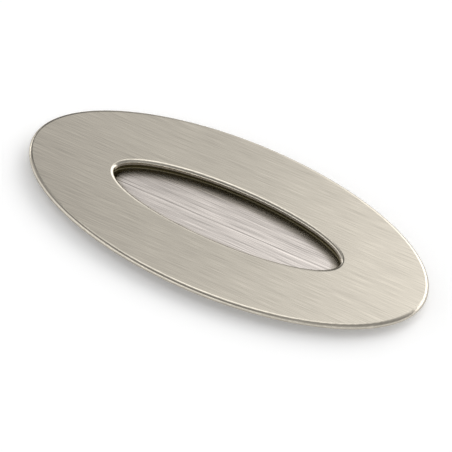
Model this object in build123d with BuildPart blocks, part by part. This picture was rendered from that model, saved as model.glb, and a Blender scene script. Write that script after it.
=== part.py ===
"""Oval flush pull: an elliptical face plate over a drawn finger cup, fixed from behind.

The row frame has +X along the length, +Y across the width and +Z out of the face.
The origin is under the middle of the cup, on the surface that the pull rests on.
"""

import os

from build123d import *

# Face plate
plate_length = 160.0
plate_width = 72.0
plate_thickness = 2.0
plate_edge_radius = 1.35
plate_back_radius = 0.2

# Finger opening through the face plate
opening_length = 91.8
opening_width = 24.6
opening_edge_radius = 1.35

# Finger cup, drawn from sheet and soldered behind the plate by its flange
cup_sheet = 0.8
recess_depth = 5.2
lip_overhang = 1.4
floor_bend_radius = 0.5
flange_bend_radius = 0.3
flange_width = 3.6
flange_edge_radius = 0.15

# Threaded bushes that take the rear fixing screws
bush_diameter = 8.0
bush_height = 3.4
bush_chamfer = 0.4
spigot_diameter = 6.0
spigot_height = 1.0
thread_drill_diameter = 3.3
thread_lead_in = 0.35
solder_gap = 0.05

# Heights in the row frame
face_z = recess_depth + cup_sheet
plate_back_z = face_z - plate_thickness
flange_back_z = plate_back_z - cup_sheet
bush_foot_z = plate_back_z - bush_height

# The cup's half axes inside and outside, and those of its flange
cup_inner_x = opening_length / 2 + lip_overhang
cup_inner_y = opening_width / 2 + lip_overhang
cup_outer_x = cup_inner_x + cup_sheet
cup_outer_y = cup_inner_y + cup_sheet
flange_x = cup_outer_x + flange_bend_radius + flange_width
flange_y = cup_outer_y + flange_bend_radius + flange_width

# The bushes stand midway between the flange's ends and the plate's ends
bush_place_x = (flange_x + plate_length / 2) / 2

# How far from a height an edge may lie and still count as lying at it
level_tolerance = 0.001


def edge_at(part, height, longest=True):
    """The ring edge of a part that lies flat at a height: the outer one, or the inner one."""
    low = height - level_tolerance
    high = height + level_tolerance
    rings = part.edges().filter_by_position(Axis.Z, low, high).sort_by(SortBy.LENGTH)
    return rings[-1] if longest else rings[0]


# Face plate: flat ellipse with a rounded rim and a rounded finger opening
with BuildPart() as face_plate:
    with BuildSketch(Plane.XY.offset(plate_back_z)):
        Ellipse(plate_length / 2, plate_width / 2)
        Ellipse(opening_length / 2, opening_width / 2, mode=Mode.SUBTRACT)
    extrude(amount=plate_thickness)
    fillet(edge_at(face_plate, face_z), radius=plate_edge_radius)
    fillet(edge_at(face_plate, face_z, longest=False), radius=opening_edge_radius)
    back_rings = face_plate.faces().sort_by(Axis.Z)[0].edges()
    fillet(back_rings, radius=plate_back_radius)
    # Blind seats in the back for the spigots of the bushes
    with BuildSketch(Plane.XY.offset(plate_back_z)):
        with GridLocations(2 * bush_place_x, 0, 2, 1):
            Circle(spigot_diameter / 2 + solder_gap)
    extrude(amount=spigot_height + solder_gap, mode=Mode.SUBTRACT)
face_plate.part.label = "face_plate"

# Hollow of the finger cup, whose floor bend runs concentric with the outside
with BuildPart() as hollow:
    with BuildSketch(Plane.XY.offset(cup_sheet)):
        Ellipse(cup_inner_x, cup_inner_y)
    extrude(amount=plate_back_z - cup_sheet)
    fillet(edge_at(hollow, cup_sheet), radius=floor_bend_radius)

# Finger cup: one drawn sheet of even thickness, with a flat flange round its mouth
with BuildPart() as cup:
    with BuildSketch():
        Ellipse(cup_outer_x, cup_outer_y)
    extrude(amount=plate_back_z)
    fillet(edge_at(cup, 0), radius=floor_bend_radius + cup_sheet)
    with BuildSketch(Plane.XY.offset(flange_back_z)):
        Ellipse(flange_x, flange_y)
    extrude(amount=cup_sheet)
    fillet(edge_at(cup, flange_back_z, longest=False), radius=flange_bend_radius)
    add(hollow.part, mode=Mode.SUBTRACT)
    mouth = edge_at(cup, plate_back_z, longest=False)
    fillet(mouth, radius=flange_bend_radius + cup_sheet)
    flange_rim = cup.edges().group_by(SortBy.LENGTH)[-1]
    fillet(flange_rim, radius=flange_edge_radius)
cup.part.label = "finger_cup"

os.makedirs("parts", exist_ok=True)
export_step(face_plate.part, "parts/face_plate.step")
export_step(cup.part, "parts/finger_cup.step")

# Threaded bushes: turned, each with a spigot seated in the back of the plate
for side, name in ((-1, "fixing_bush_left"), (1, "fixing_bush_right")):
    foot = Plane((side * bush_place_x, 0, bush_foot_z))
    with BuildPart() as bush:
        with BuildSketch(foot):
            Circle(bush_diameter / 2)
        extrude(amount=bush_height)
        chamfer(bush.edges().group_by(Axis.Z)[0], length=bush_chamfer)
        with BuildSketch(foot.offset(bush_height)):
            Circle(spigot_diameter / 2)
        extrude(amount=spigot_height)
        with BuildSketch(foot):
            Circle(thread_drill_diameter / 2)
        extrude(amount=bush_height + spigot_height, mode=Mode.SUBTRACT)
        thread_mouth = bush.edges().group_by(Axis.Z)[0].sort_by(SortBy.LENGTH)[0]
        chamfer(thread_mouth, length=thread_lead_in)
    bush.part.label = name
    export_step(bush.part, f"parts/{name}.step")
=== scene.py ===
import math

import bmesh
import bpy
from mathutils import Matrix, Vector


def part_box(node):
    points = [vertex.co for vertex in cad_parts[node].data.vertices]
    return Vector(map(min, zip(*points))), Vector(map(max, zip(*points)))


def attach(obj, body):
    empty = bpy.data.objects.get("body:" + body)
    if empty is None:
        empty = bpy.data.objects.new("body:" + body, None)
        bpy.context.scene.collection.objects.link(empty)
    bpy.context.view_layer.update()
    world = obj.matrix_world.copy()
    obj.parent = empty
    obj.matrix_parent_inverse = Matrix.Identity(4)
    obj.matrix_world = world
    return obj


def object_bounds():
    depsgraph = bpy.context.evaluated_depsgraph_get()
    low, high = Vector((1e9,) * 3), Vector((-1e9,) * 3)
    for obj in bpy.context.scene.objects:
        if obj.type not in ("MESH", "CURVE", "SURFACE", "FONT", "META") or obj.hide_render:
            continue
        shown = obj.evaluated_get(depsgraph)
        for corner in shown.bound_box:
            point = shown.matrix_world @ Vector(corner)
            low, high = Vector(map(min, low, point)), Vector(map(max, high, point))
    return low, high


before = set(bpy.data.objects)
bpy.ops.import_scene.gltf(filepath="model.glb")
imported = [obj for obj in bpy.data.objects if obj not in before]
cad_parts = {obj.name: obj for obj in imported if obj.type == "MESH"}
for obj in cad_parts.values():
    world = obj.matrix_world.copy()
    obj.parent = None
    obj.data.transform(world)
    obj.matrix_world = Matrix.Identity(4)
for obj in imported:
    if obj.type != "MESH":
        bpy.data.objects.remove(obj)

cad_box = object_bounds()

# Camera, from a perspective fit of the rim and of the finger opening
LENS_MM = 170.04
SENSOR_MM = 36.0
CLIP_START = 0.01
AZIMUTH = math.radians(19.41)
ELEVATION = math.radians(54.23)
ROLL = math.radians(7.17)
DISTANCE = 0.7865
SIDE_SHIFT = -0.00012
UP_SHIFT = -0.00429
FACE_Z = cad_box[1][2]

# Length, width and strength of each kind of streak on the face plate
PLATE_COLOR = (0.54, 0.50, 0.43)
PLATE_ROUGHNESS = 0.125
PLATE_GRAINS = ((0.012, 0.00020, 0.50), (0.045, 0.00060, 0.20), (0.300, 0.0060, 0.08))

# The same for the finger cup, whose longest scratches have a place across it, a half width and a strength
CUP_COLOR = (0.60, 0.554, 0.518)
CUP_ROUGHNESS = 0.25
CUP_GRAINS = ((0.018, 0.00032, 1.00), (0.300, 0.00036, 0.45), (0.120, 0.0020, 0.12))
CUP_SCRATCHES = (
    (-0.0080, 0.0006, 0.10),
    (-0.00625, 0.0005, 0.13),
    (-0.0056, 0.0004, -0.10),
    (-0.0019, 0.0004, 0.26),
    (-0.00125, 0.0004, -0.42),
    (-0.0006, 0.0005, 0.24),
    (0.00275, 0.0004, -0.09),
    (0.0041, 0.0005, 0.08),
)

# Painted shade on the cup: a darker colour on its steep walls and in the corner at the foot of its inside
# wall.
# The corner's painted shade is a guess that widens the dark band under the far lip towards the
# photograph's.
PAINTED_SHADE_COLOR = (0.16, 0.137, 0.07)
STEEP_POWER = 3.0
RIM_TO_WALL = 0.0047
cup_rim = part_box("finger_cup")[1]
CUP_HALF_LENGTH = cup_rim[0] - RIM_TO_WALL
CUP_HALF_WIDTH = cup_rim[1] - RIM_TO_WALL
CORNER_REACH = 0.005
CORNER_POWER = 0.7
CORNER_SHADE_DEPTH = 0.80

# Lay of the brushing, tipped a little so that it runs up the end walls of the cup
LAY = (1.0, 0.0, 0.02)
ANISOTROPY = 0.9
SEED_STEP = 7.3

# Turned brass of the bushes
BUSH_X = sum(corner[0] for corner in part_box("fixing_bush_right")) / 2
BRASS_COLOR = (0.80, 0.62, 0.34)
BRASS_ROUGHNESS = 0.25
RING_WIDTH = 0.00012
RING_STRENGTH = 0.3
RING_SEED = 3.1

# Ridge of the coarse M4 thread, whose root is sunk a little into the wall of the bore.
# Its profile is a radius and a rise in pitches at each corner.
THREAD_ROOT = 0.00170
THREAD_CREST = 0.00142
THREAD_PITCH = 0.0007
THREAD_STEPS = 32
THREAD_PROFILE = ((THREAD_ROOT, -0.3), (THREAD_CREST, -0.06), (THREAD_CREST, 0.06), (THREAD_ROOT, 0.3))
THREAD_ABOVE_FOOT = 0.0008
THREAD_BELOW_TOP = 0.0004

# Pale floor, with a small glow of its own to the camera and to gloss, which makes it white up to the shadow
FLOOR_SIZE = 6.0
FLOOR_Z = -0.0001
FLOOR_COLOR = (0.97, 0.97, 0.97, 1.0)
FLOOR_ROUGHNESS = 0.9
FLOOR_GLOW = 0.14
FLOOR_GLOW_IN_GLOSS = 0.10
WHITE = (1.0, 1.0, 1.0, 1.0)

# Studio sky. Its levels began as a computed fit of the light to the photograph,
# and were then rounded and changed.
# Each row is a lean along X, and the light there at each angle round X,
# from the horizon on the side of -Y over the top to the far horizon.
SKY_ANGLES = (0, 20, 64, 76, 90, 104, 114, 120, 129, 140, 155, 180)
SKY_ROWS = (
    (-1.00, (1.50, 1.50, 0.80, 0.90, 1.00, 0.90, 0.80, 2.50, 3.00, 3.00, 1.50, 0.50)),
    (-0.60, (2.50, 1.20, 0.20, 0.20, 0.30, 0.60, 0.12, 0.12, 0.12, 0.12, 0.12, 0.12)),
    (-0.35, (3.00, 0.50, 0.25, 0.30, 1.60, 0.60, 0.12, 0.25, 1.05, 0.12, 0.40, 0.60)),
    (-0.20, (2.60, 0.40, 0.25, 0.80, 1.80, 2.00, 0.80, 0.88, 0.92, 0.90, 1.20, 1.00)),
    (-0.08, (2.60, 0.40, 0.25, 0.80, 1.80, 2.00, 1.10, 1.28, 1.65, 1.80, 1.70, 1.40)),
    (0.20, (1.15, 0.60, 0.45, 0.40, 0.50, 0.60, 1.00, 1.50, 2.60, 3.80, 3.00, 1.00)),
    (0.60, (0.70, 0.60, 0.40, 0.40, 0.50, 0.60, 1.30, 2.40, 2.80, 2.80, 1.50, 0.50)),
)
SKY_TOP = 6.0


class Graph:
    """Short calls for the nodes of a material or of the world."""

    def __init__(self, owner):
        owner.use_nodes = True
        self.owner = owner
        self.nodes = owner.node_tree.nodes
        self.links = owner.node_tree.links

    def feed(self, socket, value):
        """Give a socket another node's output, or a plain value."""
        if isinstance(value, bpy.types.NodeSocket):
            self.links.new(value, socket)
        else:
            socket.default_value = value

    def step(self, kind, operation, *values):
        node = self.nodes.new(kind)
        node.operation = operation
        for socket, value in zip(node.inputs, values):
            self.feed(socket, value)
        return node.outputs[0]

    def math(self, operation, *values):
        return self.step("ShaderNodeMath", operation, *values)

    def vector(self, operation, *values):
        return self.step("ShaderNodeVectorMath", operation, *values)

    def split(self, vector):
        """X, Y and Z of a vector."""
        parts = self.nodes.new("ShaderNodeSeparateXYZ")
        self.feed(parts.inputs["Vector"], vector)
        return parts.outputs["X"], parts.outputs["Y"], parts.outputs["Z"]

    def join(self, x, y, z=0.0):
        """A vector from its X, Y and Z."""
        whole = self.nodes.new("ShaderNodeCombineXYZ")
        for axis, value in zip("XYZ", (x, y, z)):
            self.feed(whole.inputs[axis], value)
        return whole.outputs["Vector"]

    def coordinate(self, name):
        return self.nodes.new("ShaderNodeTexCoord").outputs[name]

    def length(self, x, y):
        squares = self.math("MULTIPLY_ADD", x, x, self.math("MULTIPLY", y, y))
        return self.math("SQRT", squares)

    def wedge(self, away, reach):
        """1 where the distance away is none, down to 0 at the reach."""
        return self.math("MAXIMUM", self.math("MULTIPLY_ADD", away, -1.0 / reach, 1.0), 0.0)

    def depth_in_ellipse(self, x, y, half_length, half_width):
        """About how far in metres a spot lies inside an ellipse, or less than 0 outside it."""
        # These keep the middle of the ellipse from a division by nothing
        least_ring = 0.05
        least_slope = 1.0
        share_x = self.math("MULTIPLY", x, 1.0 / half_length)
        share_y = self.math("MULTIPLY", y, 1.0 / half_width)
        slope_x = self.math("MULTIPLY", share_x, 1.0 / half_length)
        slope_y = self.math("MULTIPLY", share_y, 1.0 / half_width)
        ring = self.math("MAXIMUM", self.length(share_x, share_y), least_ring)
        slope = self.math("MAXIMUM", self.length(slope_x, slope_y), least_slope)
        return self.math("MULTIPLY", self.math("SUBTRACT", 1.0, ring), self.math("DIVIDE", ring, slope))

    def grain(self, along, across, length, width, seed):
        """Noise in streaks of a length and a width in metres."""
        noise = self.nodes.new("ShaderNodeTexNoise")
        noise.noise_dimensions = "2D"
        noise.inputs["Scale"].default_value = 1.0
        noise.inputs["Detail"].default_value = 1.0
        stretched_x = self.math("MULTIPLY_ADD", along, 1.0 / length, seed)
        stretched_y = self.math("MULTIPLY_ADD", across, 1.0 / width, seed)
        self.feed(noise.inputs["Vector"], self.join(stretched_x, stretched_y))
        return noise.outputs["Fac"]

    def scaled(self, color, gain):
        """A colour times a gain that varies over the surface."""
        whole = self.nodes.new("ShaderNodeVectorMath")
        whole.operation = "SCALE"
        self.feed(whole.inputs[0], color)
        self.feed(whole.inputs["Scale"], gain)
        return whole.outputs["Vector"]

    def ramp(self, factor, stops):
        """A line through the stops, each a place from 0 to 1 and a grey from 0 to 1."""
        node = self.nodes.new("ShaderNodeValToRGB")
        self.feed(node.inputs["Fac"], factor)
        elements = node.color_ramp.elements
        elements[0].position = stops[0][0]
        elements[1].position = stops[-1][0]
        for position, grey in stops[1:-1]:
            elements.new(position)
        for element, (position, grey) in zip(elements, stops):
            element.position = position
            element.color = (grey, grey, grey, 1.0)
        return node.outputs["Color"]


def metal(name, roughness):
    """The graph and the shader of a new metal."""
    graph = Graph(bpy.data.materials.new(name))
    shader = graph.nodes["Principled BSDF"]
    shader.inputs["Metallic"].default_value = 1.0
    shader.inputs["Roughness"].default_value = roughness
    return graph, shader


def unshaded_share(graph, upward, x, y):
    """How much of the cup's own colour shows, from 0 to 1, against the painted shade: least on steep walls
    and at their foot.
    """
    flat = graph.math("POWER", graph.math("ABSOLUTE", upward), STEEP_POWER)
    from_wall = graph.math("ABSOLUTE", graph.depth_in_ellipse(x, y, CUP_HALF_LENGTH, CUP_HALF_WIDTH))
    # Painted shade in the corner at the foot of the cup's inside wall
    corner = graph.math("POWER", graph.wedge(from_wall, CORNER_REACH), CORNER_POWER)
    return graph.math("MULTIPLY", flat, graph.math("MULTIPLY_ADD", corner, -CORNER_SHADE_DEPTH, 1.0))


def brushed(name, color, roughness, grains, scratches=(), shade_color=None):
    """A metal brushed along X: streaked along the lay, and scattering light across it."""
    graph, shader = metal(name, roughness)
    shader.inputs["Anisotropic"].default_value = ANISOTROPY
    normal = graph.nodes.new("ShaderNodeNewGeometry").outputs["Normal"]
    graph.feed(shader.inputs["Tangent"], graph.vector("CROSS_PRODUCT", normal, LAY))
    x, y, z = graph.split(graph.coordinate("Object"))
    sideward, upward = graph.split(normal)[1:]
    across = graph.math("MULTIPLY_ADD", z, graph.math("ABSOLUTE", sideward), y)
    gain = 1.0 - sum(strength for length, width, strength in grains) / 2
    for number, (length, width, strength) in enumerate(grains):
        streaks = graph.grain(x, across, length, width, SEED_STEP * number)
        gain = graph.math("MULTIPLY_ADD", streaks, strength, gain)
    for middle, reach, strength in scratches:
        away = graph.math("ABSOLUTE", graph.math("SUBTRACT", across, middle))
        gain = graph.math("MULTIPLY_ADD", graph.wedge(away, reach), strength, gain)
    # Painted shade: a darker colour on steep walls and in the corner at their foot
    if shade_color:
        unshaded = unshaded_share(graph, upward, x, y)
        shift = tuple(a - b for a, b in zip(color, shade_color))
        color = graph.vector("MULTIPLY_ADD", graph.join(unshaded, unshaded, unshaded), shift, shade_color)
    graph.feed(shader.inputs["Base Color"], graph.scaled(color, gain))
    return graph.owner


def turned(name, color, roughness, axis_x):
    """A turned metal, with fine rings about the axis of either bush."""
    graph, shader = metal(name, roughness)
    x, y, z = graph.split(graph.coordinate("Object"))
    off_axis = graph.math("SUBTRACT", graph.math("ABSOLUTE", x), axis_x)
    rings = graph.grain(z, graph.length(off_axis, y), RING_WIDTH, RING_WIDTH, RING_SEED)
    gain = graph.math("MULTIPLY_ADD", rings, RING_STRENGTH, 1.0 - RING_STRENGTH / 2)
    graph.feed(shader.inputs["Base Color"], graph.scaled(color, gain))
    return graph.owner


def add_camera():
    """The camera, at the angle of the photograph."""
    flat = math.cos(ELEVATION)
    back = Vector((math.sin(AZIMUTH) * flat, -math.cos(AZIMUTH) * flat, math.sin(ELEVATION)))
    level = Vector((math.cos(AZIMUTH), math.sin(AZIMUTH), 0.0))
    upright = back.cross(level)
    right = math.cos(ROLL) * level + math.sin(ROLL) * upright
    up = -math.sin(ROLL) * level + math.cos(ROLL) * upright
    place = Vector((0.0, 0.0, FACE_Z)) + SIDE_SHIFT * right + UP_SHIFT * up + DISTANCE * back
    data = bpy.data.cameras.new("camera")
    data.lens = LENS_MM
    data.sensor_width = SENSOR_MM
    data.clip_start = CLIP_START
    camera = bpy.data.objects.new("camera", data)
    turn = Matrix((right, up, back)).transposed()
    camera.matrix_world = Matrix.Translation(place) @ turn.to_4x4()
    bpy.context.scene.collection.objects.link(camera)
    bpy.context.scene.camera = camera


def thread(name, axis_x, low, high, material):
    """The ridge of a thread on the wall of a bush's bore."""
    shape = bmesh.new()
    rows = []
    for step in range(int((high - low) / THREAD_PITCH * THREAD_STEPS) + 1):
        angle = 2 * math.pi * step / THREAD_STEPS
        z = low + THREAD_PITCH * step / THREAD_STEPS
        row = []
        for radius, rise in THREAD_PROFILE:
            spot = (axis_x + radius * math.cos(angle), radius * math.sin(angle), z + rise * THREAD_PITCH)
            row.append(shape.verts.new(spot))
        rows.append(row)
    for before, after in zip(rows, rows[1:]):
        for i in range(len(THREAD_PROFILE) - 1):
            shape.faces.new((before[i], before[i + 1], after[i + 1], after[i]))
    for end in (rows[0], rows[-1]):
        shape.faces.new(end)
    bmesh.ops.recalc_face_normals(shape, faces=shape.faces)
    mesh = bpy.data.meshes.new(name)
    shape.to_mesh(mesh)
    shape.free()
    mesh.materials.append(material)
    ridge = bpy.data.objects.new(name, mesh)
    bpy.context.scene.collection.objects.link(ridge)
    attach(ridge, "root")


def add_floor():
    """The pale floor, which isn't part of the object."""
    bpy.ops.mesh.primitive_plane_add(size=FLOOR_SIZE, location=(0.0, 0.0, FLOOR_Z))
    floor = bpy.context.object
    floor.name = "floor"
    graph = Graph(bpy.data.materials.new("pale_floor"))
    shader = graph.nodes["Principled BSDF"]
    shader.inputs["Base Color"].default_value = FLOOR_COLOR
    shader.inputs["Roughness"].default_value = FLOOR_ROUGHNESS
    shader.inputs["Specular IOR Level"].default_value = 0.0
    shader.inputs["Emission Color"].default_value = WHITE
    ray = graph.nodes.new("ShaderNodeLightPath")
    seen = graph.math("MULTIPLY", ray.outputs["Is Camera Ray"], FLOOR_GLOW)
    glow = graph.math("MULTIPLY_ADD", ray.outputs["Is Glossy Ray"], FLOOR_GLOW_IN_GLOSS, seen)
    graph.feed(shader.inputs["Emission Strength"], glow)
    floor.data.materials.append(graph.owner)


def add_sky():
    """The studio's light in the world, which is plain white to the camera."""
    world = bpy.data.worlds.new("studio")
    bpy.context.scene.world = world
    graph = Graph(world)
    x, y, z = graph.split(graph.coordinate("Generated"))
    angle = graph.math("ARCTAN2", z, graph.math("MULTIPLY", y, -1.0))
    half_turn = graph.math("MULTIPLY", angle, 1.0 / math.pi)
    lean = graph.math("MULTIPLY_ADD", x, 0.5, 0.5)
    leans = [row[0] for row in SKY_ROWS]
    light = None
    for row_lean, levels in SKY_ROWS:
        stops = [(degrees / 180, level / SKY_TOP) for degrees, level in zip(SKY_ANGLES, levels)]
        share = [(other / 2 + 0.5, 1.0 if other == row_lean else 0.0) for other in leans]
        part = graph.vector("MULTIPLY", graph.ramp(half_turn, stops), graph.ramp(lean, share))
        light = part if light is None else graph.vector("ADD", light, part)
    studio = graph.nodes["Background"]
    graph.feed(studio.inputs["Color"], light)
    studio.inputs["Strength"].default_value = SKY_TOP
    white = graph.nodes.new("ShaderNodeBackground")
    white.inputs["Color"].default_value = WHITE
    ray = graph.nodes.new("ShaderNodeLightPath")
    either = graph.nodes.new("ShaderNodeMixShader")
    graph.feed(either.inputs["Fac"], ray.outputs["Is Camera Ray"])
    graph.feed(either.inputs[1], studio.outputs["Background"])
    graph.feed(either.inputs[2], white.outputs["Background"])
    graph.feed(graph.nodes["World Output"].inputs["Surface"], either.outputs["Shader"])


add_camera()
plate_metal = brushed("satin_nickel_plate", PLATE_COLOR, PLATE_ROUGHNESS, PLATE_GRAINS)
# The cup's colour carries painted shade on its steep walls and in the corner at their foot
cup_metal = brushed("satin_nickel_cup", CUP_COLOR, CUP_ROUGHNESS, CUP_GRAINS, CUP_SCRATCHES, PAINTED_SHADE_COLOR)
bush_metal = turned("turned_brass", BRASS_COLOR, BRASS_ROUGHNESS, BUSH_X)
for node, material in (
    ("face_plate", plate_metal),
    ("finger_cup", cup_metal),
    ("fixing_bush_left", bush_metal),
    ("fixing_bush_right", bush_metal),
):
    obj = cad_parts[node]
    obj.data.materials.clear()
    obj.data.materials.append(material)
for side, axis_x in (("left", -BUSH_X), ("right", BUSH_X)):
    lowest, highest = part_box("fixing_bush_" + side)
    low = lowest[2] + THREAD_ABOVE_FOOT
    high = highest[2] - THREAD_BELOW_TOP
    thread("thread_ridge_" + side, axis_x, low, high, bush_metal)
add_floor()
add_sky()
bpy.context.scene.view_settings.view_transform = "Standard"
